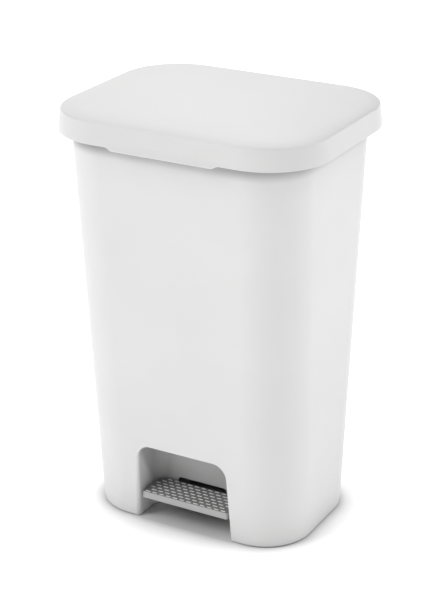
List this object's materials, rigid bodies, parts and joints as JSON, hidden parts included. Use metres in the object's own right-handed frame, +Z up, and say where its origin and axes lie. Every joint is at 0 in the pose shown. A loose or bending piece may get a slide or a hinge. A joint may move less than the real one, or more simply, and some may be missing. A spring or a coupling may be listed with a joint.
{
  "type": "step-on kitchen bin",
  "caption": "Tall tapered kitchen bin with a lipped hinged lid, opened by a foot pedal in a recess at its base through a lever and a lift rod.",
  "frame": {"origin": "on the floor, straight under the middle of the lid", "axes": "+Z up; the pedal faces -Y; the hinges and the lift rod are at +Y; +X is to the right for someone who faces the pedal"},
  "size_m": [0.416, 0.3422, 0.64],
  "materials": {
    "white_plastic": "satin moulded white plastic with a very fine texture",
    "grey_plastic": "matte mid-grey moulded plastic",
    "dark_plastic": "matte dark moulded plastic",
    "rubber": "soft dark rubber",
    "steel": "zinc-plated drawn steel"
  },
  "bodies": {
    "bin": {"tub": "white_plastic", "foot_pads": "rubber", "hinge_bracket_left": "white_plastic", "hinge_bracket_right": "white_plastic", "hinge_screws": "steel", "hinge_pin_left": "steel", "hinge_pin_right": "steel", "guide_upper": "dark_plastic", "guide_middle": "dark_plastic", "guide_lower": "dark_plastic", "pivot_axle": "steel", "axle_clips": "steel", "bearing_left": "grey_plastic", "bearing_right": "grey_plastic", "bearing_screws": "steel"},
    "lid": {"lid": "white_plastic", "lid_pads": "rubber", "lift_horn": "white_plastic", "horn_screws": "steel", "horn_pin": "steel"},
    "rod": {"lift_rod": "steel", "rod_head": "dark_plastic", "rod_foot": "dark_plastic"},
    "pedal": {"pedal_lever": "grey_plastic", "lever_pin": "steel", "pedal_tread": "grey_plastic", "tread_screws": "steel"}
  },
  "joints": [
    {"name": "lid_hinge", "type": "hinge", "parent": "bin", "child": "lid", "pos_m": [0, 0.16166, 0.604], "axis": [-1, 0, 0], "range_deg": [0, 80]},
    {"name": "pedal_pivot", "type": "hinge", "parent": "bin", "child": "pedal", "pos_m": [0, 0.02, 0.03], "axis": [1, 0, 0], "range_deg": [0, 12.05]},
    {"name": "rod_slide", "type": "slide", "parent": "bin", "child": "rod", "axis": [0, 0.0519, 0.9987], "range_m": [0, 0.0206]}
  ],
  "couplings": [
    {"joint": "pedal_pivot", "follows": "lid_hinge", "ratio": 0.15},
    {"joint": "rod_slide", "follows": "lid_hinge", "m_per_rad": 0.014711}
  ]
}
